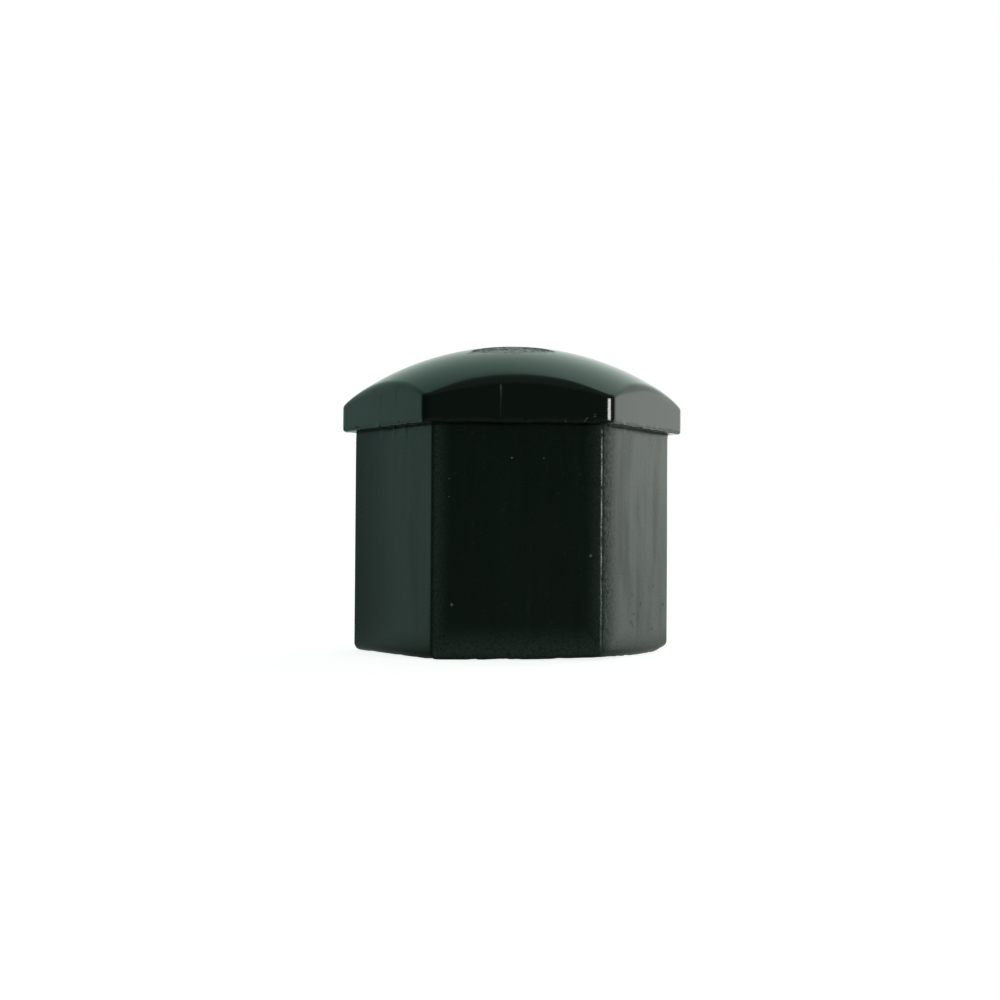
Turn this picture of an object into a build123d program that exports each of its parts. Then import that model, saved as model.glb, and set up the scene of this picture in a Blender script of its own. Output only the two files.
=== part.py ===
from build123d import *

import os
from math import cos, pi, sqrt

# Wheel nut cover cap, moulded in one piece, in millimetres.
# It stands on the rim of its open end, with the hexagon's axis on Z and the dome on top.
# Two of the hexagon's flats face -Y and +Y, and two of its corners lie on X.

# The nut and how the socket holds it
NUT_ACROSS_FLATS = 17.0     # wheel nut or bolt head that the cap covers
NUT_CLEARANCE = 0.1         # between a nut flat and the socket wall
SOCKET_CORNER_RADIUS = 0.5
MOUTH_LEAD_IN = 0.25        # chamfer that guides the nut into the socket
RIB_BITE = 0.12             # how far each grip rib reaches past the nut's flat
RIB_RADIUS = 0.5            # round back of a grip rib
RIB_START = 2.4             # from the rim to the foot of a rib
RIB_RAMP = 1.2              # length of the tapered foot

# The skirt, the wider head and its dome
SKIRT_WALL = 1.2
SKIRT_LENGTH = 15.65        # rim to the underside of the head
SKIRT_CORNER_RADIUS = 0.4
RIM_FILLET = 0.55           # outer edge of the rim
LIP_OVERHANG = 0.9          # how far the head stands out past the skirt on each flat
LIP_FILLET = 0.18           # lower outer edge of the head
HEAD_CORNER_RADIUS = 1.0
HEAD_CORNER_HEIGHT = 1.87   # underside of the head to the dome, up a corner of the head
DOME_RADIUS = 19.5
DOME_EDGE_FILLET = 0.9      # where the dome meets the flats of the head
ROOF_WALL = 1.5             # thickness of the domed roof

SIDES = 6

# Sizes that follow from the ones above
SOCKET_ACROSS_FLATS = NUT_ACROSS_FLATS + 2 * NUT_CLEARANCE
SKIRT_ACROSS_FLATS = SOCKET_ACROSS_FLATS + 2 * SKIRT_WALL
HEAD_ACROSS_FLATS = SKIRT_ACROSS_FLATS + 2 * LIP_OVERHANG
HEAD_CORNER_REACH = HEAD_CORNER_RADIUS + (HEAD_ACROSS_FLATS / 2 - HEAD_CORNER_RADIUS) / cos(pi / SIDES)
DOME_CENTRE = SKIRT_LENGTH + HEAD_CORNER_HEIGHT - sqrt(DOME_RADIUS**2 - HEAD_CORNER_REACH**2)
CAP_HEIGHT = DOME_CENTRE + DOME_RADIUS
ROOF_RADIUS = DOME_RADIUS - ROOF_WALL
RIB_PROUD = NUT_CLEARANCE + RIB_BITE

# A fillet along the head's outline has to turn inside its rounded corners.
CORNER_SHARE = 0.95


def hexagon(across_flats, corner_radius=0.0):
    """A hexagon with flats on -Y and +Y, and rounded corners if a radius is given."""
    outline = RegularPolygon(across_flats / 2, SIDES, major_radius=False)
    if corner_radius:
        outline = fillet(outline.vertices(), corner_radius)
    return outline


def dome_ball(radius):
    """A ball about the point that the dome and the roof are both struck from, poles on Y."""
    return Pos(0, 0, DOME_CENTRE) * Rot(90, 0, 0) * Sphere(radius)


def skirt():
    """The hexagonal tube's outside, with rounded corners and a rounded rim."""
    rounded_prism = extrude(hexagon(SKIRT_ACROSS_FLATS, SKIRT_CORNER_RADIUS), SKIRT_LENGTH)
    sharp_prism = extrude(hexagon(SKIRT_ACROSS_FLATS), SKIRT_LENGTH)
    rim_edges = sharp_prism.edges().group_by(Axis.Z)[0]
    return rounded_prism & fillet(rim_edges, RIM_FILLET)


def head():
    """The wider hexagonal head, cut to a dome, with its upper and lower edges rounded."""
    outline = Pos(0, 0, SKIRT_LENGTH) * hexagon(HEAD_ACROSS_FLATS, HEAD_CORNER_RADIUS)
    block = extrude(outline, CAP_HEIGHT - SKIRT_LENGTH)
    crown = block & dome_ball(DOME_RADIUS)
    dome_face = crown.faces().filter_by(GeomType.SPHERE)[0]
    turn_limit = CORNER_SHARE * HEAD_CORNER_RADIUS
    crown = fillet(dome_face.edges(), min(DOME_EDGE_FILLET, turn_limit))
    lower_edges = crown.faces().sort_by(Axis.Z)[0].edges()
    return fillet(lower_edges, min(LIP_FILLET, turn_limit))


def socket():
    """The hollow for the nut: a hexagonal core under a domed roof, with a flared mouth."""
    core = extrude(hexagon(SOCKET_ACROSS_FLATS, SOCKET_CORNER_RADIUS), CAP_HEIGHT)
    flare = loft([
        hexagon(SOCKET_ACROSS_FLATS + 2 * MOUTH_LEAD_IN, SOCKET_CORNER_RADIUS),
        Pos(0, 0, MOUTH_LEAD_IN) * hexagon(SOCKET_ACROSS_FLATS, SOCKET_CORNER_RADIUS),
    ])
    return (core & dome_ball(ROOF_RADIUS)) + flare


def grip_ribs():
    """One slender upright rib on each socket flat, with a round back and a tapered foot."""
    rib_axis = SOCKET_ACROSS_FLATS / 2 - RIB_PROUD + RIB_RADIUS
    upright = (Align.CENTER, Align.CENTER, Align.MIN)
    foot = Pos(rib_axis, 0, RIB_START) * Cone(
        RIB_RADIUS - RIB_PROUD, RIB_RADIUS, RIB_RAMP, align=upright
    )
    post_start = RIB_START + RIB_RAMP
    post = Pos(rib_axis, 0, post_start) * Cylinder(
        RIB_RADIUS, CAP_HEIGHT - post_start, align=upright
    )
    first_flat = 180 / SIDES
    return [Rot(0, 0, first_flat + turn * 360 / SIDES) * (foot + post) for turn in range(SIDES)]


def wheel_nut_cap():
    """The whole cap as one solid."""
    outside = skirt() + head()
    ribs = [rib & outside for rib in grip_ribs()]
    return outside - socket() + ribs


os.makedirs("parts", exist_ok=True)
export_step(wheel_nut_cap(), "parts/wheel_nut_cap.step")
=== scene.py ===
"""Looks of a wheel nut cover cap: its moulded skin, its finishes, its studio and its camera.

Shapes are worked out in millimetres in the cap's own frame, with the hexagon's axis on Z, the open
rim on the floor and a flat facing -Y, and become metres when they are written into a mesh.
"""

from __future__ import annotations

import logging
import math
from collections.abc import Mapping
from dataclasses import dataclass, field
from enum import Enum
from functools import reduce

import bpy
import numpy as np
from mathutils import Matrix, Vector

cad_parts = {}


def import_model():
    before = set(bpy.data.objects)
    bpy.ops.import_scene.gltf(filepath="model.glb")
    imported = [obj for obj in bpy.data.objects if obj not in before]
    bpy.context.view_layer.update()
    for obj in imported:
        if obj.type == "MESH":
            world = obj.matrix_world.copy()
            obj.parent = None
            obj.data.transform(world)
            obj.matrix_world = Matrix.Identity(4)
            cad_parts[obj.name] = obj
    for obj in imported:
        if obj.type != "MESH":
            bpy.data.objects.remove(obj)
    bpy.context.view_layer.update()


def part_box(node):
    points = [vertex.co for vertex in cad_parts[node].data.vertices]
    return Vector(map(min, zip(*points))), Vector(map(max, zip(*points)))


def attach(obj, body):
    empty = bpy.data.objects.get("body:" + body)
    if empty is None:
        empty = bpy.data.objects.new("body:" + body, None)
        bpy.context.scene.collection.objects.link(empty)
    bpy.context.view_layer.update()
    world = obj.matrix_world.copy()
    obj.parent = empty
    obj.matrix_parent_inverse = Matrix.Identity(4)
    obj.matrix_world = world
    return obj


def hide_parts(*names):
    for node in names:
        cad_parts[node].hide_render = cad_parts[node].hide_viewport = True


LOG = logging.getLogger("wheel_nut_cap")

MM = 0.001
SIDES = 6
SECTOR = 2 * math.pi / SIDES
CAP_NODE = "wheel_nut_cap"
RIGHTWARD = (1.0, 0.0, 0.0)
BACKWARD = (0.0, 1.0, 0.0)
UP = (0.0, 0.0, 1.0)
WHITE = (1.0, 1.0, 1.0, 1.0)
MATT_ROUGHNESS = 0.65
MATT_GLOSS = 0.1
HASH_STEPS = np.array([374761393, 668265263, 1274126177], dtype=np.int64)
HASH_SEED_STEP = 144665
HASH_MIX = 1103515245
HASH_MASK = np.int64(0xFFFFFFFF)
HASH_LOW = 0xFFFF

Axis = tuple[float, float, float]
Colour = tuple[float, float, float, float]


class Zone(Enum):
    """Parts of the skin that have a finish of their own, by material number."""

    HEAD = 0
    SKIRT = 1
    SOCKET = 2


class Face(Enum):
    """Flats that the camera sees, by the direction they face in degrees from +X."""

    LEFT = -150.0
    FRONT = -90.0
    RIGHT = -30.0


class Seed(Enum):
    """Starting numbers of the noises that wear the skin."""

    PITS = 5
    SCUFF_EDGE = 11
    CRUMBS = 23
    NICKS = 31
    SWAY = 41


def smooth_step(value: np.ndarray, low: float, high: float) -> np.ndarray:
    """Ease from 0 at low to 1 at high with the cubic 3t^2 - 2t^3, held flat outside them."""
    t = np.clip((value - low) / (high - low), 0.0, 1.0)
    return t * t * (3.0 - 2.0 * t)


def outward_normals(points: np.ndarray) -> np.ndarray:
    """Find outward normals as the cross product of the steps down the rows and along them.

    Args:
        points: Points by row and column.

    Returns:
        Unit vectors of the same shape.
    """
    down = np.gradient(points, axis=0)
    across = np.roll(points, -1, axis=1) - np.roll(points, 1, axis=1)
    normal = np.cross(down, across)
    return normal / np.maximum(np.linalg.norm(normal, axis=-1, keepdims=True), 1e-12)


@dataclass(frozen=True)
class LatticeNoise:
    """Smooth noise from 0 to 1, blended between hashed values at whole-number lattice points."""

    seed: Seed

    def corner(self, cell: np.ndarray) -> np.ndarray:
        """Hash whole-number lattice points to values from 0 to 1.

        Args:
            cell: Whole numbers, with X, Y and Z on the last axis.

        Returns:
            One value for each point: the low bits of a mix of products and shifts.
        """
        key = ((cell * HASH_STEPS).sum(axis=-1) + self.seed.value * HASH_SEED_STEP) & HASH_MASK
        key = ((key ^ (key >> 13)) * HASH_MIX) & HASH_MASK
        return ((key ^ (key >> 16)) & HASH_LOW) / HASH_LOW

    def at(self, points: np.ndarray) -> np.ndarray:
        """Blend the eight lattice corners around each point, eased along each axis.

        Args:
            points: Places in lattice steps, with X, Y and Z on the last axis.

        Returns:
            One value from 0 to 1 for each place.
        """
        low = np.floor(points)
        share = smooth_step(points - low, 0.0, 1.0)
        cell = low.astype(np.int64)
        total = np.zeros(points.shape[:-1])
        for corner in np.ndindex(2, 2, 2):
            side = np.array(corner)
            weight = np.where(side == 1, share, 1.0 - share).prod(axis=-1)
            total += weight * self.corner(cell + side)
        return total

    def layered(self, points: np.ndarray, layers: int = 3) -> np.ndarray:
        """Add layers of noise, each twice as fine and half as strong, scaled back to 0 to 1."""
        total = sum(self.at(points * 2.0**n) * 0.5**n for n in range(layers))
        return total / sum(0.5**n for n in range(layers))


@dataclass(frozen=True)
class CapSizes:
    """Sizes of the cap in millimetres. Half widths are from the axis to a flat."""

    head_half: float
    height: float
    skirt_half: float = 9.8
    skirt_length: float = 15.65
    skirt_corner: float = 0.4
    rim_fillet: float = 0.55
    rim_corner: float = 0.08
    lip_fillet: float = 0.18
    head_corner: float = 1.0
    dome_radius: float = 19.5
    dome_fillet: float = 0.9
    corner_fillet: float = 0.42
    roof_wall: float = 1.5
    socket_half: float = 8.6
    socket_corner: float = 0.5
    mouth_flare: float = 0.25
    rib_radius: float = 0.5
    rib_proud: float = 0.22
    rib_start: float = 2.4
    rib_ramp: float = 1.2

    @classmethod
    def from_frame(cls) -> CapSizes:
        """Take the head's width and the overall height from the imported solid."""
        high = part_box(CAP_NODE)[1]
        return cls(head_half=high.y / MM, height=high.z / MM)

    @property
    def dome_centre(self) -> float:
        """Height of the point that the dome and the roof are struck from."""
        return self.height - self.dome_radius

    @property
    def roof_radius(self) -> float:
        """Radius of the roof over the socket."""
        return self.dome_radius - self.roof_wall


@dataclass
class HexColumns:
    """Columns of points round a hexagon with rounded corners, closer together at a rib's place.

    A point is (half - corner) times a base vector, plus corner times an outward unit vector. On a
    flat the base vector runs from one end of the flat to the other, and on a corner it stays at the
    flat's end while the outward vector turns through a sixth of a circle.
    """

    coarse: int = 20
    fine: int = 14
    turns: int = 10
    fine_share: float = 0.13
    base: np.ndarray = field(init=False)
    outward: np.ndarray = field(init=False)
    along: np.ndarray = field(init=False)

    def __post_init__(self) -> None:
        """Lay out one sector's columns and repeat them round the axis."""
        flat = np.concatenate([
            np.linspace(-1.0, -self.fine_share, self.coarse, endpoint=False),
            np.linspace(-self.fine_share, self.fine_share, self.fine, endpoint=False),
            np.linspace(self.fine_share, 1.0, self.coarse + 1),
        ])
        bend = np.linspace(0.0, SECTOR, self.turns + 1)[1:-1]
        along = np.concatenate([flat, np.ones(bend.size)])
        turn = np.concatenate([np.zeros(flat.size), bend])
        facing = math.radians(Face.FRONT.value) + SECTOR * np.repeat(np.arange(SIDES), along.size)
        self.along = np.tile(along, SIDES)
        normal = np.stack([np.cos(facing), np.sin(facing)], axis=-1)
        tangent = np.stack([-np.sin(facing), np.cos(facing)], axis=-1)
        self.base = normal + (self.along * math.tan(SECTOR / 2))[:, None] * tangent
        angle = facing + np.tile(turn, SIDES)
        self.outward = np.stack([np.cos(angle), np.sin(angle)], axis=-1)

    @property
    def count(self) -> int:
        """Number of columns all the way round."""
        return self.along.size

    def plan(self, half: np.ndarray | float, corner: np.ndarray | float) -> np.ndarray:
        """Points of the outline in plan, for one or several outlines.

        Args:
            half: Distance from the axis to a flat, or one for each outline.
            corner: Corner radius, or one for each outline.

        Returns:
            X and Y on the last axis, columns before it, and outlines before those if given.
        """
        half = np.asarray(half, dtype=float)[..., None, None]
        corner = np.asarray(corner, dtype=float)[..., None, None]
        return (half - corner) * self.base + corner * self.outward


@dataclass(frozen=True)
class Scuff:
    """The scuffed patch on the crown: its middle and its half widths in plan, in millimetres."""

    x: float = -0.25
    y: float = -4.4
    half_width: float = 2.95
    half_depth: float = 2.1


@dataclass(frozen=True)
class WornCorner:
    """A corner of the rim that is worn higher: its place in plan, its reach and its lift."""

    x: float
    y: float
    reach: float
    lift: float

    def rise(self, points: np.ndarray) -> np.ndarray:
        """Lift by a bell curve of the distance from the corner in plan."""
        away = np.linalg.norm(points[..., :2] - np.array([self.x, self.y]), axis=-1)
        return self.lift * np.exp(-((away / self.reach) ** 2))


@dataclass(frozen=True)
class CapWear:
    """Wear of the skin. Depths, heights and bands are in millimetres, grains in steps in one."""

    sizes: CapSizes
    scuff: Scuff = Scuff()
    scuff_sink: float = 0.06
    scuff_edge_grain: float = 0.9
    pit_depth: float = 0.1
    pit_grain: Axis = (5.0, 2.6, 2.6)
    crumb_height: float = 0.07
    crumb_grain: float = 1.9
    crumb_band: float = 0.4
    sway_depth: float = 0.02
    sway_grain: Axis = (0.35, 0.35, 0.16)
    nick_height: float = 0.09
    nick_grain: float = 1.4
    nick_band: float = 0.35
    crown_rise: float = 2.0
    worn_corners: tuple[WornCorner, ...] = (
        WornCorner(5.5, -9.5, 3.4, 0.16),
        WornCorner(11.2, 0.0, 1.1, 0.26),
    )

    def scuffed(self, points: np.ndarray) -> np.ndarray:
        """Sink and pit the crown's patch, less so to the front.

        Args:
            points: Points by row and column.

        Returns:
            Moves along the normals: noise less the sink, times a patch that falls from 1 to 0
            as the distance from its middle in half widths, made ragged by noise, nears 1.
        """
        scuff = self.scuff
        ragged = LatticeNoise(Seed.SCUFF_EDGE).layered(points * self.scuff_edge_grain) - 0.5
        x = (points[..., 0] - scuff.x) / scuff.half_width
        y = (points[..., 1] - scuff.y) / scuff.half_depth
        patch = 1.0 - smooth_step(np.hypot(x, y) + 0.3 * ragged, 0.92, 0.99)
        pits = LatticeNoise(Seed.PITS).layered(points * np.array(self.pit_grain)) - 0.5
        near = smooth_step(points[..., 1], scuff.y + 0.3, scuff.y - 1.7)
        pitted = self.pit_depth * pits * (1.0 - 0.6 * near)
        return patch * (pitted - self.scuff_sink * (1.0 - 0.8 * near))

    def crumbled(self, points: np.ndarray) -> np.ndarray:
        """Crumble the lip's foot: crumbs stand out where the noise is high, and the rest sinks.

        Args:
            points: Points by row and column.

        Returns:
            Moves along the normals, which fade out up the crumbs' band.
        """
        base = self.sizes.skirt_length
        lip = smooth_step(points[..., 2], base + self.crumb_band, base)
        crumbs = smooth_step(LatticeNoise(Seed.CRUMBS).layered(points * self.crumb_grain), 0.56, 0.8)
        return lip * self.crumb_height * (crumbs - 0.25)

    def swayed(self, points: np.ndarray) -> np.ndarray:
        """Move of the flats: a slow noise in and out, slower still up the cap."""
        noise = LatticeNoise(Seed.SWAY).at(points * np.array(self.sway_grain))
        return self.sway_depth * (noise - 0.5)

    def nicked(self, points: np.ndarray) -> np.ndarray:
        """Lift of the rim in nicks, where the noise is high, fading out up the skirt."""
        nicks = smooth_step(LatticeNoise(Seed.NICKS).layered(points * self.nick_grain), 0.52, 0.85)
        return smooth_step(points[..., 2], self.nick_band, 0.0) * self.nick_height * nicks

    def worn_higher(self, points: np.ndarray) -> np.ndarray:
        """Lift of the rim about its worn corners, fading out up to the foot of the ribs."""
        worn = sum(corner.rise(points) for corner in self.worn_corners)
        return worn * smooth_step(points[..., 2], self.sizes.rib_start, 0.0)

    def applied(self, points: np.ndarray, zones: np.ndarray) -> np.ndarray:
        """Wear the skin: the crown, the lip and the flats along their normals, the rim upwards.

        Args:
            points: Points by row and column.
            zones: Material number of each row.

        Returns:
            The moved points.
        """
        outside = (zones != Zone.SOCKET.value)[:, None]
        head = (zones == Zone.HEAD.value)[:, None]
        crown = head & (points[..., 2] > self.sizes.skirt_length + self.crown_rise)
        move = crown * self.scuffed(points) + head * self.crumbled(points)
        move = move + outside * ~crown * self.swayed(points)
        moved = points + move[..., None] * outward_normals(points)
        moved[..., 2] += outside * self.nicked(points) + self.worn_higher(points)
        return moved


@dataclass
class CapShell:
    """The whole moulded skin of the cap: dome, head, lip, skirt, rim, socket, ribs and roof."""

    sizes: CapSizes
    wear: CapWear
    columns: HexColumns = field(default_factory=HexColumns)
    dome_rows: int = 104
    dome_crowding: float = 0.11
    dome_fillet_rows: int = 10
    head_rows: int = 14
    lip_rows: int = 6
    ledge_rows: int = 6
    skirt_rows: int = 36
    rim_rows: int = 10
    flat_rows: int = 3
    mouth_rows: int = 3
    rib_foot_rows: int = 8
    wall_rows: int = 16
    roof_rows: int = 14
    sharp_angle: float = 32.0

    def lifted(self, plan: np.ndarray, z: np.ndarray | float) -> np.ndarray:
        """Join plan points and heights into points in space."""
        height = np.broadcast_to(np.asarray(z, dtype=float), plan.shape[:-1])
        return np.concatenate([plan, height[..., None]], axis=-1)

    def on_ball(self, plan: np.ndarray, radius: np.ndarray | float) -> np.ndarray:
        """Lift plan points to a ball about the dome's centre: z = centre + sqrt(R^2 - x^2 - y^2)."""
        reach = (plan**2).sum(axis=-1)
        return self.lifted(plan, self.sizes.dome_centre + np.sqrt(radius**2 - reach))

    def edge_radius(self) -> np.ndarray:
        """Narrow the dome's fillet from the flats to the corners.

        Returns:
            A radius for each column, eased from one to the other over the ends of a flat.
        """
        size = self.sizes
        share = smooth_step(np.abs(self.columns.along), 0.5, 1.0)
        return size.dome_fillet + share * (size.corner_fillet - size.dome_fillet)

    def fillet_ball(self) -> tuple[np.ndarray, np.ndarray]:
        """Follow the ball that rolls inside the head, touching the dome and the head's wall.

        Returns:
            The ball's centre for each column, and the unit vector from it to the dome.
        """
        size = self.sizes
        radius = self.edge_radius()
        inner = size.dome_radius - radius
        flat = (size.head_half - size.head_corner) * self.columns.base
        plan = flat + (size.head_corner - radius)[:, None] * self.columns.outward
        centre = self.on_ball(plan, inner)
        start = np.array([0.0, 0.0, size.dome_centre])
        return centre, (centre - start) / inner[:, None]

    def dome(self) -> np.ndarray:
        """Shrink the curve where the dome meets its fillet towards the axis, on the dome's ball.

        Returns:
            Points by row and column. A sine in their spacing sets the rows closer together
            over the scuffed patch than near the axis and the edge.
        """
        centre, to_dome = self.fillet_ball()
        edge = centre[:, :2] + self.edge_radius()[:, None] * to_dome[:, :2]
        even = np.linspace(0.0, 1.0, self.dome_rows + 1)[1:]
        share = even + self.dome_crowding * np.sin(2 * math.pi * even)
        return self.on_ball(share[:, None, None] * edge, self.sizes.dome_radius)

    def dome_fillet(self) -> np.ndarray:
        """Turn the rolling ball's radius from the dome's normal to the wall's, by even angles.

        Returns:
            Points by row and column.
        """
        centre, to_dome = self.fillet_ball()
        to_wall = self.lifted(self.columns.outward, 0.0)
        opening = np.arccos(np.clip((to_dome * to_wall).sum(axis=-1), -1.0, 1.0))[:, None]
        share = np.linspace(0.0, 1.0, self.dome_fillet_rows + 1)[1:, None, None]
        turned = np.sin((1 - share) * opening) * to_dome + np.sin(share * opening) * to_wall
        return centre + self.edge_radius()[:, None] * turned / np.sin(opening)

    def head_side(self) -> np.ndarray:
        """Drop from the dome's fillet to the lip's fillet down the head's outline.

        Returns:
            Points by row and column.
        """
        size = self.sizes
        plan = self.columns.plan(size.head_half, size.head_corner)
        top = self.fillet_ball()[0][:, 2]
        share = np.linspace(0.0, 1.0, self.head_rows + 1)[1:, None]
        z = top + share * (size.skirt_length + size.lip_fillet - top)
        return self.lifted(np.broadcast_to(plan, z.shape + (2,)), z)

    def rounded_edge(
        self, half: float, corner: float, fillet: float, base: float, rows: int
    ) -> np.ndarray:
        """Round a lower edge: a quarter circle from the wall to a level face at height base.

        Args:
            half: Distance from the axis to the wall's flats.
            corner: Corner radius of the wall's outline.
            fillet: Radius of the rounded edge.
            base: Height of the level face.
            rows: Number of rows.

        Returns:
            Points by row and column. The corner shrinks with the outline, down to a small radius.
        """
        angle = np.linspace(0.0, math.pi / 2, rows + 1)[1:]
        inset = fillet * (1.0 - np.cos(angle))
        plan = self.columns.plan(half - inset, np.maximum(corner - inset, self.sizes.rim_corner))
        return self.lifted(plan, (base + fillet * (1.0 - np.sin(angle)))[:, None])

    def level_band(self, start: np.ndarray, end: np.ndarray, rows: int, z: float) -> np.ndarray:
        """Go straight from one plan outline to another at one height."""
        share = np.linspace(0.0, 1.0, rows + 1)[1:, None, None]
        return self.lifted(start + share * (end - start), z)

    def skirt_side(self) -> np.ndarray:
        """Drop from the head's underside to the rim's fillet down the skirt's outline.

        Returns:
            Points by row and column.
        """
        size = self.sizes
        plan = self.columns.plan(size.skirt_half, size.skirt_corner)
        z = np.linspace(size.skirt_length, size.rim_fillet, self.skirt_rows + 1)[1:, None]
        return self.lifted(np.broadcast_to(plan, (self.skirt_rows,) + plan.shape), z)

    def mouth(self) -> np.ndarray:
        """Narrow the flared mouth to the socket, by as much in width as it rises.

        Returns:
            Points by row and column.
        """
        size = self.sizes
        rise = np.linspace(0.0, size.mouth_flare, self.mouth_rows + 1)[1:]
        plan = self.columns.plan(size.socket_half + size.mouth_flare - rise, size.socket_corner)
        return self.lifted(plan, rise[:, None])

    def rib_depth(self, z: np.ndarray) -> np.ndarray:
        """How far the grip ribs stand in from the socket's flats.

        A rib is a round post sunk in the wall: sqrt(radius^2 - s^2) less the sunk depth, where s is
        the distance along the flat from its middle. Over its foot it widens from the sunk depth.

        Args:
            z: Heights by row and column.

        Returns:
            Depths of the same shape, 0 away from the ribs.
        """
        size = self.sizes
        sunk = size.rib_radius - size.rib_proud
        rise = np.clip((z - size.rib_start) / size.rib_ramp, 0.0, 1.0)
        radius = sunk + rise * size.rib_proud
        offset = self.columns.along * (size.socket_half - size.socket_corner) * math.tan(SECTOR / 2)
        return np.maximum(np.sqrt(np.maximum(radius**2 - offset**2, 0.0)) - sunk, 0.0)

    def socket_wall(self) -> np.ndarray:
        """Rise from the flared mouth to the roof up the socket's outline, less the ribs' depth.

        Returns:
            Points by row and column.
        """
        size = self.sizes
        plan = self.columns.plan(size.socket_half, size.socket_corner)
        foot_top = size.rib_start + size.rib_ramp
        low = np.linspace(size.mouth_flare, size.rib_start, self.mouth_rows + 1)[1:]
        foot = np.linspace(size.rib_start, foot_top, self.rib_foot_rows + 1)[1:]
        lower = np.concatenate([low, foot])[:, None] * np.ones(self.columns.count)
        post = self.rib_depth(np.full((1, self.columns.count), foot_top))[..., None]
        top = self.on_ball(plan - post * self.columns.outward, size.roof_radius)[0, :, 2]
        share = np.linspace(0.0, 1.0, self.wall_rows + 1)[1:, None]
        z = np.concatenate([lower, foot_top + share * (top - foot_top)])
        return self.lifted(plan - self.rib_depth(z)[..., None] * self.columns.outward, z)

    def roof(self, edge: np.ndarray) -> np.ndarray:
        """Shrink the socket wall's top edge towards the axis, on the roof's ball."""
        share = np.linspace(1.0, 0.0, self.roof_rows + 1)[1:-1, None, None]
        return self.on_ball(share * edge[:, :2], self.sizes.roof_radius)

    def skin(self) -> tuple[np.ndarray, np.ndarray]:
        """Stack every band of rows from the dome's middle, down the outside and up the socket.

        Returns:
            Points by row and column, and the material number of each row.
        """
        size = self.sizes
        skirt_plan = self.columns.plan(size.skirt_half, size.skirt_corner)
        mouth_plan = self.columns.plan(size.socket_half + size.mouth_flare, size.socket_corner)
        lip = self.rounded_edge(
            size.head_half, size.head_corner, size.lip_fillet, size.skirt_length, self.lip_rows
        )
        ledge = self.level_band(lip[-1, :, :2], skirt_plan, self.ledge_rows, size.skirt_length)
        rim = self.rounded_edge(
            size.skirt_half, size.skirt_corner, size.rim_fillet, 0.0, self.rim_rows
        )
        wall = self.socket_wall()
        bands = [
            (Zone.HEAD, self.dome()),
            (Zone.HEAD, self.dome_fillet()),
            (Zone.HEAD, self.head_side()),
            (Zone.HEAD, lip),
            (Zone.HEAD, ledge),
            (Zone.SKIRT, self.skirt_side()),
            (Zone.SKIRT, rim),
            (Zone.SKIRT, self.level_band(rim[-1, :, :2], mouth_plan, self.flat_rows, 0.0)),
            (Zone.SOCKET, self.mouth()),
            (Zone.SOCKET, wall),
            (Zone.SOCKET, self.roof(wall[-1])),
        ]
        zones = np.concatenate([np.full(len(rows), zone.value) for zone, rows in bands])
        return np.concatenate([rows for _, rows in bands]), zones

    def within_box(self, points: np.ndarray) -> np.ndarray:
        """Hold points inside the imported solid's box."""
        low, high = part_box(CAP_NODE)
        return np.clip(points, np.array(low) / MM, np.array(high) / MM)

    def build(self) -> bpy.types.Object:
        """Write the closed skin into a mesh: quads between rows, and a fan at each end.

        Returns:
            The finished piece, riding on the cap's body in place of its solid.
        """
        rows, zones = self.skin()
        rows = self.within_box(self.wear.applied(rows, zones))
        count = self.columns.count
        size = self.sizes
        poles = np.array([[0.0, 0.0, size.height], [0.0, 0.0, size.dome_centre + size.roof_radius]])
        points = np.concatenate([rows.reshape(-1, 3), poles]) * MM
        index = np.arange(len(rows) * count).reshape(len(rows), count)
        turned = np.roll(index, -1, axis=1)
        quads = np.stack([index[:-1], index[1:], turned[1:], turned[:-1]], axis=-1).reshape(-1, 4)
        crown = np.full(count, index.size)
        top = np.stack([crown, index[0], turned[0]], axis=-1)
        inner = np.stack([index[-1], crown + 1, turned[-1]], axis=-1)
        finish = np.concatenate([
            np.repeat(zones[1:], count),
            np.full(count, Zone.HEAD.value),
            np.full(count, Zone.SOCKET.value),
        ])
        mesh = mesh_from_faces("cap_skin", points, quads, np.concatenate([top, inner]), finish)
        mesh.shade_smooth()
        mesh.set_sharp_from_angle(angle=math.radians(self.sharp_angle))
        piece = bpy.data.objects.new("cap_skin", mesh)
        bpy.context.scene.collection.objects.link(piece)
        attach(piece, "root")
        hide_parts(CAP_NODE)
        return piece

    def dress(self, piece: bpy.types.Object) -> None:
        """Give the head, the skirt and the socket their finishes, in the order of their zones.

        Args:
            piece: The built skin, whose faces have the numbers of their zones.
        """
        head = HeadFinish(self.sizes, self.wear.scuff)
        for finish in (head, SkirtFinish(self.sizes), SocketFinish()):
            piece.data.materials.append(finish.material())


def mesh_from_faces(
    name: str, points: np.ndarray, quads: np.ndarray, triangles: np.ndarray, finish: np.ndarray
) -> bpy.types.Mesh:
    """Fill a mesh from whole arrays.

    Args:
        name: Name of the mesh.
        points: Vertex places in metres.
        quads: Four vertex numbers for each four-sided face.
        triangles: Three vertex numbers for each triangle, which follow the quads.
        finish: Material number of each face.

    Returns:
        The filled mesh, with its edges worked out.
    """
    mesh = bpy.data.meshes.new(name)
    mesh.vertices.add(len(points))
    mesh.vertices.foreach_set("co", points.astype(np.float32).ravel())
    loops = np.concatenate([quads.ravel(), triangles.ravel()]).astype(np.int32)
    mesh.loops.add(loops.size)
    mesh.loops.foreach_set("vertex_index", loops)
    starts = np.concatenate([np.arange(len(quads)) * 4, quads.size + np.arange(len(triangles)) * 3])
    mesh.polygons.add(starts.size)
    mesh.polygons.foreach_set("loop_start", starts.astype(np.int32))
    mesh.polygons.foreach_set("material_index", finish.astype(np.int32))
    mesh.update(calc_edges=True)
    mesh.validate()
    return mesh


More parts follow.
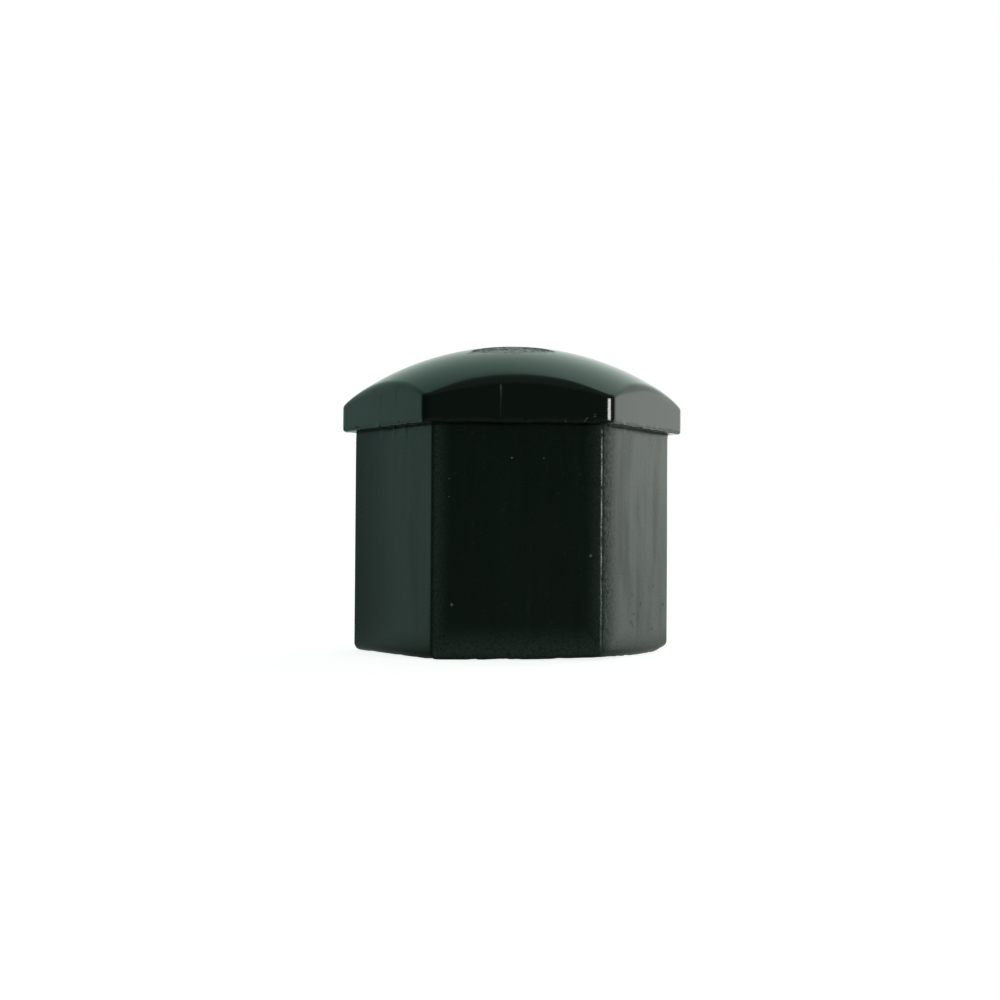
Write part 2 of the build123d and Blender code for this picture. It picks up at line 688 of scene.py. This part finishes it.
class Wire:
    """A shader socket whose arithmetic adds Math nodes."""

    def __init__(self, graph: ShaderGraph, socket: bpy.types.NodeSocket) -> None:
        """Keep the graph that the socket is in, and the socket."""
        self.graph = graph
        self.socket = socket

    def math(self, operation: str, first: Operand, second: Operand) -> Wire:
        """Add one Math node."""
        return self.graph.add("ShaderNodeMath", {"operation": operation}, {0: first, 1: second})

    def __add__(self, other: Operand) -> Wire:
        """Add."""
        return self.math("ADD", self, other)

    __radd__ = __add__

    def __sub__(self, other: Operand) -> Wire:
        """Subtract."""
        return self.math("SUBTRACT", self, other)

    def __rsub__(self, other: Operand) -> Wire:
        """Subtract from a number."""
        return self.math("SUBTRACT", other, self)

    def __mul__(self, other: Operand) -> Wire:
        """Multiply."""
        return self.math("MULTIPLY", self, other)

    __rmul__ = __mul__

    def __truediv__(self, other: Operand) -> Wire:
        """Divide."""
        return self.math("DIVIDE", self, other)

    def __pow__(self, power: float) -> Wire:
        """Raise to a power."""
        return self.math("POWER", self, power)

    def __abs__(self) -> Wire:
        """Drop the sign."""
        return self.math("ABSOLUTE", self, 0.0)

    def __or__(self, other: Operand) -> Wire:
        """The larger of two masks."""
        return self.math("MAXIMUM", self, other)

    def __and__(self, other: Operand) -> Wire:
        """The smaller of two masks."""
        return self.math("MINIMUM", self, other)


Operand = Wire | float
NodeValue = Wire | float | tuple[float, ...]


class ShaderGraph:
    """A node tree that is written as expressions."""

    def __init__(self, tree: bpy.types.NodeTree) -> None:
        """Start from an empty tree."""
        self.tree = tree
        tree.nodes.clear()

    def add(
        self,
        kind: str,
        settings: Mapping[str, object] | None = None,
        values: Mapping[str | int, NodeValue] | None = None,
        output: str | int = 0,
    ) -> Wire:
        """Add any node.

        Args:
            kind: Node type.
            settings: Properties of the node, set first.
            values: Values or links of its input sockets, by name or number.
            output: Output socket to hand back, by name or number.

        Returns:
            The output, ready for arithmetic.
        """
        node = self.tree.nodes.new(kind)
        for name, setting in (settings or {}).items():
            setattr(node, name, setting)
        for key, value in (values or {}).items():
            if isinstance(value, Wire):
                self.tree.links.new(value.socket, node.inputs[key])
            else:
                node.inputs[key].default_value = value
        return Wire(self, node.outputs[output]) if len(node.outputs) else Wire(self, node.inputs[0])

    def place(self) -> Wire:
        """Place on the piece in millimetres, from its Object coordinates."""
        metres = self.add("ShaderNodeTexCoord", output="Object")
        return self.add("ShaderNodeVectorMath", {"operation": "SCALE"}, {0: metres, "Scale": 1 / MM})

    def stretched(self, place: Wire, factors: Axis) -> Wire:
        """Multiply a place by a factor along each axis."""
        return self.add("ShaderNodeVectorMath", {"operation": "MULTIPLY"}, {0: place, 1: factors})

    def along(self, place: Wire, direction: Axis) -> Wire:
        """Distance of a place along a direction."""
        settings = {"operation": "DOT_PRODUCT"}
        return self.add("ShaderNodeVectorMath", settings, {0: place, 1: direction}, "Value")

    def toward(self, place: Wire, face: Face) -> Wire:
        """Distance of a place from the axis towards a flat."""
        return self.along(place, flat_axes(face)[0])

    def across(self, place: Wire, face: Face) -> Wire:
        """Distance of a place along a flat from its middle, to the right as seen from outside."""
        return self.along(place, flat_axes(face)[1])

    def flat_distances(self, place: Wire) -> list[Wire]:
        """Distance of a place from the axis towards each pair of opposite flats."""
        return [abs(self.toward(place, face)) for face in Face]

    def from_axis(self, place: Wire) -> Wire:
        """Distance from the axis to the flat through a place: the largest over the sides."""
        return largest(self.flat_distances(place))

    def beside_corner(self, place: Wire) -> Wire:
        """Find the distance towards the second nearest flat, which grows up to a corner.

        Args:
            place: Place on the piece in millimetres.

        Returns:
            The middle one of three distances: their sum less the largest and the smallest.
        """
        first, second, third = self.flat_distances(place)
        ends = (first | second | third) + (first & second & third)
        return first + second + third - ends

    def noise(self, place: Wire, scale: float, detail: float = 2.0, roughness: float = 0.5) -> Wire:
        """Noise from 0 to 1 with the given number of steps in a millimetre."""
        values = {"Vector": place, "Scale": scale, "Detail": detail, "Roughness": roughness}
        return self.add("ShaderNodeTexNoise", None, values)

    def swing(self, place: Wire, scale: float, detail: float = 2.0, roughness: float = 0.5) -> Wire:
        """The same noise, from -0.5 to 0.5."""
        return self.noise(place, scale, detail, roughness) - 0.5

    def spots(self, place: Wire, scale: float) -> Wire:
        """Distance to the nearest of scattered points, as a share of their usual spacing."""
        return self.add("ShaderNodeTexVoronoi", None, {"Vector": place, "Scale": scale}, "Distance")

    def ramp(self, value: Wire, low: float, high: float) -> Wire:
        """Ease from 0 to 1.

        Args:
            value: Value that is followed.
            low: Value that gives 0.
            high: Value that gives 1, below low for a ramp that falls.

        Returns:
            The eased share.
        """
        settings = {"interpolation_type": "SMOOTHSTEP"}
        if low < high:
            return self.add("ShaderNodeMapRange", settings, {0: value, 1: low, 2: high})
        return 1.0 - self.add("ShaderNodeMapRange", settings, {0: value, 1: high, 2: low})

    def blend(self, share: Wire, start: NodeValue, end: NodeValue) -> Wire:
        """Mix two colours."""
        return self.add("ShaderNodeMix", {"data_type": "RGBA"}, {0: share, 6: start, 7: end}, 2)

    def bump(self, height: Wire, depth: float, below: Wire | None = None) -> Wire:
        """Bump a surface.

        Args:
            height: Height from 0 to 1.
            depth: What a height of 1 stands for, in millimetres.
            below: Normal from an earlier bump, if there is one.

        Returns:
            The bumped normal.
        """
        values: dict[str | int, NodeValue] = {
            "Strength": 1.0,
            "Distance": depth * MM,
            "Height": height,
        }
        if below is not None:
            values["Normal"] = below
        return self.add("ShaderNodeBump", None, values)

    def plastic(
        self, colour: Wire, roughness: Wire, normal: Wire, dull: Wire | None = None
    ) -> None:
        """End in a glossy shader, mixed with a matt one where the gloss is worn off.

        Args:
            colour: Base colour.
            roughness: Roughness.
            normal: Bumped normal.
            dull: Share of the gloss that is worn off, if any is.
        """
        values = {"Base Color": colour, "Roughness": roughness, "Normal": normal}
        shader = self.add("ShaderNodeBsdfPrincipled", None, values)
        if dull is not None:
            matt_values = {**values, "Roughness": MATT_ROUGHNESS, "Specular IOR Level": MATT_GLOSS}
            matt = self.add("ShaderNodeBsdfPrincipled", None, matt_values)
            shader = self.add("ShaderNodeMixShader", None, {0: dull, 1: shader, 2: matt})
        self.add("ShaderNodeOutputMaterial", None, {"Surface": shader})


def largest(masks: list[Wire]) -> Wire:
    """The largest of several masks."""
    return reduce(Wire.__or__, masks)


def flat_axes(face: Face) -> tuple[Axis, Axis]:
    """Directions out of a flat and along it, to the right as seen from outside."""
    angle = math.radians(face.value)
    return (math.cos(angle), math.sin(angle), 0.0), (-math.sin(angle), math.cos(angle), 0.0)


def new_material(name: str) -> tuple[bpy.types.Material, ShaderGraph]:
    """Start a material.

    Args:
        name: Name of the material.

    Returns:
        The material and the empty graph in it.
    """
    material = bpy.data.materials.new(name)
    material.use_nodes = True
    return material, ShaderGraph(material.node_tree)


@dataclass(frozen=True)
class Scratch:
    """A fine upright scratch on a flat, by its place along the flat and its ends, in millimetres."""

    face: Face
    along: float
    low: float
    high: float
    width: float
    fade: float = 0.25

    def mask(self, graph: ShaderGraph, place: Wire, reach: float) -> Wire:
        """1 on the scratch and 0 off it.

        Args:
            graph: Graph that the nodes go into.
            place: Place on the piece in millimetres.
            reach: Distance from the axis that only this flat reaches.

        Returns:
            A ramp across that is widest and strongest at the top, times a ramp at each end and a
            test of the flat.
        """
        wander = 0.12 * graph.swing(place, 0.7, 1.0)
        across = abs(graph.across(place, self.face) - self.along + wander)
        z = graph.along(place, UP)
        rise = graph.ramp(z, self.low, self.high)
        strength = 0.3 + 0.7 * rise * rise * rise
        foot = graph.ramp(z, self.low, self.low + self.fade)
        head = graph.ramp(z, self.high, self.high - self.fade)
        on_flat = graph.ramp(graph.toward(place, self.face), reach - 0.05, reach)
        line = graph.ramp(across / (self.width * (0.35 + 0.65 * rise * rise)), 1.0, 0.3)
        return line * strength * foot * head * on_flat


@dataclass(frozen=True)
class Speck:
    """A speck of pale dust or a small chip on a flat, in millimetres."""

    face: Face
    along: float
    z: float
    radius: float

    def mask(self, graph: ShaderGraph, place: Wire, reach: float) -> Wire:
        """1 on the speck and 0 off it: a ramp of the distance from its middle.

        Args:
            graph: Graph that the nodes go into.
            place: Place on the piece in millimetres.
            reach: Distance from the axis to the flat.

        Returns:
            The mask.
        """
        out, right = flat_axes(self.face)
        middle = tuple(reach * o + self.along * r for o, r in zip(out[:2], right[:2])) + (self.z,)
        settings = {"operation": "DISTANCE"}
        away = graph.add("ShaderNodeVectorMath", settings, {0: place, 1: middle}, "Value")
        return graph.ramp(away, self.radius, 0.4 * self.radius)


@dataclass(frozen=True)
class HeadFinish:
    """Smooth gloss of the head, smudged a little, with a scuffed patch and fine scratches.

    Depths are in millimetres, and grains are in steps in one.
    """

    sizes: CapSizes
    scuff: Scuff
    colour: Colour = (0.0092, 0.0118, 0.0096, 1.0)
    worn: Colour = (0.05, 0.054, 0.05, 1.0)
    scratched: Colour = (0.085, 0.09, 0.086, 1.0)
    roughness: float = 0.14
    smudge_grain: float = 0.45
    fine_grain: float = 7.0
    fine_depth: float = 0.0012
    pit_grain: float = 6.0
    pit_depth: float = 0.03
    mark_depth: float = 0.01
    fleck_stretch: Axis = (1.0, 0.4, 0.4)
    pale_grain: float = 3.4
    dark_grain: float = 2.3
    flat_margin: float = 0.05
    # Height of the painted shadow line at the foot of the head's sides.
    lip_shadow_band: float = 0.08
    crown_base: float = 20.0
    scratches: tuple[Scratch, ...] = (
        Scratch(Face.FRONT, -1.2, 15.9, 18.3, 0.1),
    )
    drag_lines: tuple[Scratch, ...] = (
        Scratch(Face.LEFT, -0.05, 15.8, 18.0, 0.12),
        Scratch(Face.LEFT, 2.14, 15.7, 18.2, 0.12),
    )
    specks: tuple[Speck, ...] = (
        Speck(Face.FRONT, 4.38, 15.82, 0.07),
        Speck(Face.FRONT, 4.46, 15.92, 0.07),
        Speck(Face.FRONT, 4.54, 16.02, 0.06),
        Speck(Face.FRONT, 5.03, 16.12, 0.08),
        Speck(Face.FRONT, 5.03, 16.26, 0.06),
        Speck(Face.FRONT, 3.1, 15.78, 0.09),
    )

    @property
    def flat_reach(self) -> float:
        """Distance from the axis just short of a flat."""
        return self.sizes.head_half - self.flat_margin

    def material(self) -> bpy.types.Material:
        """Layer smudges, scratches and the scuffed patch over near-black plastic.

        Returns:
            The finished material.
        """
        material, graph = new_material("head_plastic")
        place = graph.place()
        smudge = graph.swing(place, self.smudge_grain, 3.0)
        grain = graph.noise(place, self.fine_grain, 3.0, 0.6)
        marks = self.marks(graph, place)
        patch = self.patch(graph, place)
        flecks = graph.stretched(place, self.fleck_stretch)
        uneven = 0.7 * graph.swing(place, 3.1, 4.0, 0.65)
        pits = graph.noise(flecks, self.pit_grain, 3.0, 0.75)
        pale = patch * graph.ramp(graph.spots(flecks, self.pale_grain) + uneven, 0.36, 0.14)
        colour = graph.blend(pale, self.colour, self.worn)
        colour = graph.blend(marks, colour, self.scratched)
        roughness = self.roughness + 0.06 * smudge + 0.04 * (grain - 0.5)
        roughness = roughness + patch * (0.16 + 0.3 * (pits - 0.5)) + 0.3 * marks
        normal = graph.bump(grain, self.fine_depth)
        normal = graph.bump(pits * patch, self.pit_depth, normal)
        normal = graph.bump(1.0 - marks, self.mark_depth, normal)
        lines = largest([line.mask(graph, place, self.flat_reach) for line in self.drag_lines])
        dark = graph.ramp(graph.spots(flecks, self.dark_grain), 0.4, 0.25)
        scuffed = patch * (0.36 + 0.55 * dark) * (1.0 - pale)
        dull = self.lip_shadow_and_crumbs(graph, place) | 0.4 * lines | scuffed
        graph.plastic(colour, roughness, normal, dull)
        return material

    def lip_shadow_and_crumbs(self, graph: ShaderGraph, place: Wire) -> Wire:
        """Dull the ragged moulding edge at the foot of the head's sides as a painted shadow line of
        the gap under the lip, and crumbs above it.

        Args:
            graph: Graph that the nodes go into.
            place: Place on the piece in millimetres.

        Returns:
            Share of the gloss that is worn off, most of it on the edge: painted shade there, wear on
            the crumbs.
        """
        ragged = 0.2 * graph.swing(place, 1.6, 3.0, 0.6)
        above = graph.along(place, UP) - self.sizes.skirt_length
        side = graph.ramp(graph.from_axis(place), self.flat_reach - 0.2, self.flat_reach - 0.05)
        # The edge's dull band is painted shade: the dark line of the gap under the lip.
        edge = graph.ramp(above + ragged, self.lip_shadow_band, 0.5 * self.lip_shadow_band)
        crumbs = graph.ramp(graph.noise(place, 2.6), 0.6, 0.68) * graph.ramp(above, 0.42, 0.25)
        return side * (0.85 * edge | 0.5 * crumbs)

    def marks(self, graph: ShaderGraph, place: Wire) -> Wire:
        """Join the scratches and the chips.

        Args:
            graph: Graph that the nodes go into.
            place: Place on the piece in millimetres.

        Returns:
            1 on any of them and 0 off them.
        """
        masks = [scratch.mask(graph, place, self.flat_reach) for scratch in self.scratches]
        masks += [speck.mask(graph, place, self.sizes.head_half) for speck in self.specks]
        return largest(masks)

    def patch(self, graph: ShaderGraph, place: Wire) -> Wire:
        """Outline the crown's scuffed patch, fainter to the front.

        Args:
            graph: Graph that the nodes go into.
            place: Place on the piece in millimetres.

        Returns:
            A ramp of the distance from its middle in half widths, made ragged by noise.
        """
        x = (graph.along(place, RIGHTWARD) - self.scuff.x) / self.scuff.half_width
        y = (graph.along(place, BACKWARD) - self.scuff.y) / self.scuff.half_depth
        away = (x * x + y * y) ** 0.5 + 0.6 * graph.swing(place, 0.9, 4.0)
        crown = graph.ramp(graph.along(place, UP), self.crown_base - 0.5, self.crown_base)
        return crown * graph.ramp(away, 1.06, 0.9) * (1.0 - 0.5 * graph.ramp(y, 0.1, -0.9))


@dataclass(frozen=True)
class SkirtFinish:
    """Satin of the skirt: streaks, pits, rubbed ends of flats, dust, and a film towards the rim that
    is partly painted bounce light from the floor.

    A dull line under the lip is painted shade. Depths and heights are in millimetres, and grains are
    in steps in one.
    """

    sizes: CapSizes
    colour: Colour = (0.0052, 0.0108, 0.0072, 1.0)
    streaked: Colour = (0.0074, 0.0124, 0.0092, 1.0)
    # Film colour: a thin dust film, which on the front's foot also stands for painted bounce light
    # from the floor.
    film: Colour = (0.047, 0.07, 0.053, 1.0)
    dust: Colour = (0.26, 0.27, 0.26, 1.0)
    roughness: float = 0.26
    streak_stretch: Axis = (1.0, 1.0, 0.06)
    streak_grain: float = 2.6
    streak_depth: float = 0.005
    broad_stretch: Axis = (1.0, 1.0, 0.2)
    broad_grain: float = 0.6
    mottle_grain: float = 0.35
    fine_grain: float = 6.0
    fine_depth: float = 0.003
    pit_grain: float = 3.2
    pit_depth: float = 0.006
    # Height of the paler band at the rim: dust film, with painted bounce light from the floor on the
    # front.
    film_and_bounce_height: float = 2.6
    specks: tuple[Speck, ...] = (
        Speck(Face.FRONT, -4.32, 3.66, 0.12),
        Speck(Face.FRONT, -0.4, 13.4, 0.09),
        Speck(Face.FRONT, 1.72, 13.4, 0.06),
        Speck(Face.FRONT, 4.87, 6.95, 0.12),
        Speck(Face.FRONT, -4.55, 12.0, 0.06),
        Speck(Face.FRONT, -4.55, 10.8, 0.05),
    )

    def material(self) -> bpy.types.Material:
        """Layer streaks, pits, film with painted bounce light in it, and dust over near-black
        plastic.

        Returns:
            The finished material.
        """
        material, graph = new_material("skirt_plastic")
        place = graph.place()
        reach = self.sizes.skirt_half
        tall = graph.stretched(place, self.streak_stretch)
        streak = graph.noise(tall, self.streak_grain, 4.0, 0.6)
        mottle = graph.swing(place, self.mottle_grain, 3.0)
        grain = graph.noise(place, self.fine_grain, 3.0, 0.65)
        pits = graph.ramp(graph.noise(place, self.pit_grain, 3.0, 0.7), 0.62, 0.72)
        by_corner = graph.ramp(graph.beside_corner(place), reach - 1.1, reach - 0.1)
        # Paler film towards the rim and beside the corners, strongest on the front: dust, with
        # painted bounce light from the floor at the front's foot.
        edges = graph.ramp(graph.along(place, UP), self.film_and_bounce_height, 0.0) | 0.6 * by_corner
        on_front = graph.ramp(graph.toward(place, Face.FRONT), reach - 0.2, reach - 0.05)
        film = edges * (0.45 + 0.55 * on_front) * (0.35 + 0.65 * graph.ramp(grain, 0.3, 0.65))
        dust = largest([speck.mask(graph, place, reach) for speck in self.specks])
        colour = graph.blend(graph.ramp(streak, 0.55, 0.75), self.colour, self.streaked)
        colour = graph.blend(film, colour, self.film)
        colour = graph.blend(dust * 0.7, colour, self.dust)
        roughness = self.roughness + 0.12 * (streak - 0.5) + 0.1 * mottle
        roughness = roughness + 0.1 * (grain - 0.5) + 0.2 * pits
        normal = graph.bump(grain, self.fine_depth)
        normal = graph.bump(streak, self.streak_depth, normal)
        normal = graph.bump(1.0 - pits * (0.12 + 0.88 * edges), self.pit_depth, normal)
        dull = self.rubbed_and_lip_shadow(graph, place) | self.rubbed_corners(graph, place)
        graph.plastic(colour, roughness, normal, dull)
        return material

    def rubbed_and_lip_shadow(self, graph: ShaderGraph, place: Wire) -> Wire:
        """Share of the gloss that is worn off the flats, with a painted shadow line under the lip.

        It is speckled beside the corner between the front and right flats, grows softly to the far
        end of the left flat, runs in broad upright streaks all round, dots the lower part, dulls
        the rim and paints a dark shadow line under the lip, where the lip's gap shades the skirt.

        Args:
            graph: Graph that the nodes go into.
            place: Place on the piece in millimetres.

        Returns:
            The largest of the shares.
        """
        reach = self.sizes.skirt_half
        length = self.sizes.skirt_length
        z = graph.along(place, UP)
        on_right = graph.ramp(graph.toward(place, Face.RIGHT), reach - 0.1, reach - 0.01)
        across = graph.across(place, Face.RIGHT)
        far_end = on_right * graph.ramp(across, 3.9, 5.0)
        speckle = graph.swing(place, 3.6, 4.0, 0.7)
        speckled = on_right * graph.ramp(across, -2.2, -6.4) * (1.0 + 2.2 * speckle)
        on_left = graph.ramp(graph.toward(place, Face.LEFT), reach - 0.5, reach - 0.1)
        handled = 0.53 * on_left * graph.ramp(graph.across(place, Face.LEFT), 3.0, -6.0)
        broad = graph.noise(graph.stretched(place, self.broad_stretch), self.broad_grain, 3.0)
        streaks = 0.29 * graph.ramp(broad, 0.38, 0.7) * (1.0 - 0.45 * on_left - 0.8 * far_end)
        dots = graph.ramp(graph.noise(place, 2.0, 3.0, 0.6), 0.62, 0.7) * graph.ramp(z, 8.5, 1.5)
        dots = dots * (0.6 - 0.5 * on_left)
        rim = 0.45 * graph.ramp(z, 2.2, 0.2)
        # Dull band at the top of the skirt: painted shadow of the gap under the lip.
        ragged = 0.12 * graph.swing(place, 1.6, 3.0, 0.6)
        top = 0.7 * graph.ramp(z + ragged, length - 0.16, length - 0.05)
        return speckled | handled | streaks | dots | rim | top

    def rubbed_corners(self, graph: ShaderGraph, place: Wire) -> Wire:
        """Wear the gloss off the corners, in breaks on the one between front and right.

        Args:
            graph: Graph that the nodes go into.
            place: Place on the piece in millimetres.

        Returns:
            Share of the gloss that is worn off.
        """
        reach = self.sizes.skirt_half
        arc = graph.ramp(graph.from_axis(place), reach - 0.002, reach - 0.025)
        by_front = graph.ramp(graph.toward(place, Face.FRONT), reach - 0.5, reach - 0.2)
        by_right = graph.ramp(graph.toward(place, Face.RIGHT), reach - 0.5, reach - 0.2)
        breaks = 0.33 + 2.6 * graph.swing(place, 1.5, 3.0, 0.6)
        return arc * (0.3 + by_front * by_right * breaks)


@dataclass(frozen=True)
class SocketFinish:
    """Duller moulded plastic of the socket, with faint upright drag lines.

    Depths are in millimetres, and grains are in steps in one.
    """

    colour: Colour = (0.009, 0.012, 0.0105, 1.0)
    film: Colour = (0.016, 0.02, 0.018, 1.0)
    roughness: float = 0.42
    drag_stretch: Axis = (1.0, 1.0, 0.04)
    drag_grain: float = 3.4
    drag_depth: float = 0.01
    fine_grain: float = 5.0
    fine_depth: float = 0.003

    def material(self) -> bpy.types.Material:
        """Layer drag lines over near-black plastic.

        Returns:
            The finished material.
        """
        material, graph = new_material("socket_plastic")
        place = graph.place()
        drag = graph.noise(graph.stretched(place, self.drag_stretch), self.drag_grain, 3.0, 0.6)
        grain = graph.noise(place, self.fine_grain, 3.0)
        colour = graph.blend(graph.ramp(drag, 0.5, 0.8), self.colour, self.film)
        roughness = self.roughness + 0.15 * (drag - 0.5) + 0.1 * (grain - 0.5)
        normal = graph.bump(grain, self.fine_depth)
        normal = graph.bump(drag, self.drag_depth, normal)
        graph.plastic(colour, roughness, normal)
        return material


@dataclass
class Studio:
    """A pale floor, a soft surround that is brightest behind on the right, and one low lamp.

    Lengths are in metres and the lamp's power is in watts.
    """

    floor_half: float = 3.0
    floor_drop: float = 0.00002
    floor_colour: Colour = (0.88, 0.8, 0.81, 1.0)
    floor_bounce: Colour = (0.3, 0.3, 0.3, 1.0)
    floor_lift: float = 0.84
    sweep_share: float = 0.65
    sweep_reach: float = 0.04
    sweep_start: float = 0.015
    left_light: Colour = (0.297, 0.486, 0.428, 1.0)
    right_light: Colour = (1.28, 1.4, 1.28, 1.0)
    top_tint: Colour = (0.425, 0.565, 0.535, 1.0)
    dim_light: Colour = (0.025, 0.055, 0.04, 1.0)
    front_light: Colour = (0.115, 0.175, 0.145, 1.0)
    lamp_azimuth: float = -40.5
    lamp_height: float = 0.02
    lamp_distance: float = 0.3
    lamp_width: float = 0.115
    lamp_rise: float = 0.07
    lamp_power: float = 0.41

    def build(self) -> None:
        """Lay the floor, then set the surround and the lamp."""
        self.lay_floor()
        self.set_surround()
        self.hang_lamp()

    def lay_floor(self) -> None:
        """Lay a level square floor under the cap's rim."""
        half = self.floor_half
        square = np.array([[-half, -half], [half, -half], [half, half], [-half, half]])
        points = np.concatenate([square, np.full((4, 1), -self.floor_drop)], axis=1)
        triangles = np.empty((0, 3), dtype=int)
        mesh = mesh_from_faces("floor", points, np.arange(4)[None, :], triangles, np.zeros(1))
        mesh.materials.append(self.floor_paper())
        floor = bpy.data.objects.new("floor", mesh)
        bpy.context.scene.collection.objects.link(floor)

    def floor_paper(self) -> bpy.types.Material:
        """Paper lifted to white for the camera, on which reflections see the surround carried on.

        Returns:
            The finished material.
        """
        material, graph = new_material("floor_paper")
        paper = graph.add("ShaderNodeBsdfDiffuse", None, {"Color": self.floor_colour})
        lift = graph.add("ShaderNodeEmission", None, {"Strength": self.floor_lift})
        shown = graph.add("ShaderNodeAddShader", None, {0: paper, 1: lift})
        bounce = graph.add("ShaderNodeBsdfDiffuse", None, {"Color": self.floor_bounce})
        metres = graph.add("ShaderNodeTexCoord", output="Object")
        scale = 1.0 / self.sweep_reach
        values = {0: metres, 1: (scale, scale, 0.0), 2: (0.0, scale * self.sweep_start, 0.0)}
        way = graph.add("ShaderNodeVectorMath", {"operation": "MULTIPLY_ADD"}, values)
        glossy = graph.add("ShaderNodeLightPath", output="Is Glossy Ray")
        values = {"Color": self.glow(graph, way), "Strength": glossy * self.sweep_share}
        sweep = graph.add("ShaderNodeEmission", None, values)
        reflected = graph.add("ShaderNodeAddShader", None, {0: bounce, 1: sweep})
        seen = graph.add("ShaderNodeLightPath", output="Is Camera Ray")
        both = graph.add("ShaderNodeMixShader", None, {0: seen, 1: reflected, 2: shown})
        graph.add("ShaderNodeOutputMaterial", None, {"Surface": both})
        return material

    def glow(self, graph: ShaderGraph, way: Wire) -> Wire:
        """Light that comes from a direction.

        It grows from left to right across the back, fades and turns greener above, with a dimmer
        seam over the right, and is dim in front, more so near the horizon.

        Args:
            graph: Graph that the nodes go into.
            way: Vector away from the cap, of length 1 in the surround.

        Returns:
            The light's colour.
        """
        x = graph.along(way, RIGHTWARD)
        y = graph.along(way, BACKWARD)
        z = graph.along(way, UP)
        across = graph.blend(graph.ramp(x, -1.0, 0.6) ** 1.5, self.left_light, self.right_light)
        tinting = {"data_type": "RGBA", "blend_type": "MULTIPLY"}
        values = {0: graph.ramp(z, 0.15, 0.85), 6: across, 7: self.top_tint}
        back = graph.add("ShaderNodeMix", tinting, values, 2)
        front = graph.blend(graph.ramp(z, 0.3, 0.75), self.dim_light, self.front_light)
        seam = graph.ramp(x, 0.35, 0.6) * graph.ramp(z, 0.14, 0.3) * graph.ramp(z, 0.62, 0.5)
        share = graph.ramp(y, 0.05, 0.45) * graph.ramp(z, 0.87, 0.81) * (1.0 - 0.3 * seam)
        return graph.blend(share, front, back)

    def set_surround(self) -> None:
        """Light the cap from all round, and show the camera plain white."""
        world = bpy.data.worlds.new("surround")
        bpy.context.scene.world = world
        world.use_nodes = True
        graph = ShaderGraph(world.node_tree)
        way = graph.add("ShaderNodeTexCoord", output="Generated")
        values = {"Color": self.glow(graph, way), "Strength": 1.0}
        light = graph.add("ShaderNodeBackground", None, values)
        white = graph.add("ShaderNodeBackground", None, {"Color": WHITE, "Strength": 1.0})
        seen = graph.add("ShaderNodeLightPath", output="Is Camera Ray")
        both = graph.add("ShaderNodeMixShader", None, {0: seen, 1: light, 2: white})
        graph.add("ShaderNodeOutputWorld", None, {"Surface": both})

    def hang_lamp(self) -> None:
        """Hang a low oblong lamp at the right of the camera, turned to the cap."""
        angle = math.radians(self.lamp_azimuth)
        light = bpy.data.lights.new("strip_lamp", "AREA")
        light.shape = "RECTANGLE"
        light.size = self.lamp_width
        light.size_y = self.lamp_rise
        light.energy = self.lamp_power
        lamp = bpy.data.objects.new("strip_lamp", light)
        away = Vector((math.cos(angle), math.sin(angle), 0.0)) * self.lamp_distance
        place = away + Vector((0.0, 0.0, self.lamp_height))
        turn = away.to_track_quat("Z", "Y").to_matrix().to_4x4()
        lamp.matrix_world = Matrix.Translation(place) @ turn
        bpy.context.scene.collection.objects.link(lamp)


@dataclass
class PhotoCamera:
    """The camera at the photograph's viewpoint.

    Its place, its lens and its sensor are in millimetres, its turns in radians, and its clipping
    distances in metres.
    """

    place: Axis = (-4.701, -119.335, 7.978)
    yaw: float = 0.0322
    pitch: float = 0.0239
    roll: float = -0.0061
    lens: float = 59.58
    sensor: float = 36.0
    clip_start: float = 0.001
    clip_end: float = 20.0

    def build(self) -> None:
        """Aim the camera by its yaw to the right of +Y, its upward pitch and its roll."""
        data = bpy.data.cameras.new("photo_camera")
        data.lens = self.lens
        data.sensor_width = self.sensor
        data.clip_start = self.clip_start
        data.clip_end = self.clip_end
        camera = bpy.data.objects.new("photo_camera", data)
        level = math.cos(self.pitch)
        rightward = math.sin(self.yaw) * level
        backward = math.cos(self.yaw) * level
        forward = Vector((rightward, backward, math.sin(self.pitch)))
        right = forward.cross(Vector(UP)).normalized()
        up = right.cross(forward)
        turned_right = right * math.cos(self.roll) - up * math.sin(self.roll)
        turned_up = right * math.sin(self.roll) + up * math.cos(self.roll)
        axes = Matrix((turned_right, turned_up, -forward)).transposed().to_4x4()
        camera.matrix_world = Matrix.Translation(Vector(self.place) * MM) @ axes
        bpy.context.scene.collection.objects.link(camera)
        bpy.context.scene.camera = camera


def main() -> None:
    """Build the camera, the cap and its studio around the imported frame."""
    logging.basicConfig(level=logging.INFO, format="%(name)s: %(message)s")
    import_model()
    bpy.context.scene.view_settings.view_transform = "Standard"
    PhotoCamera().build()
    sizes = CapSizes.from_frame()
    shell = CapShell(sizes, CapWear(sizes))
    piece = shell.build()
    shell.dress(piece)
    piece.data.calc_loop_triangles()
    LOG.info("%s has %d triangles", piece.name, len(piece.data.loop_triangles))
    Studio().build()


if __name__ == "__main__":
    main()
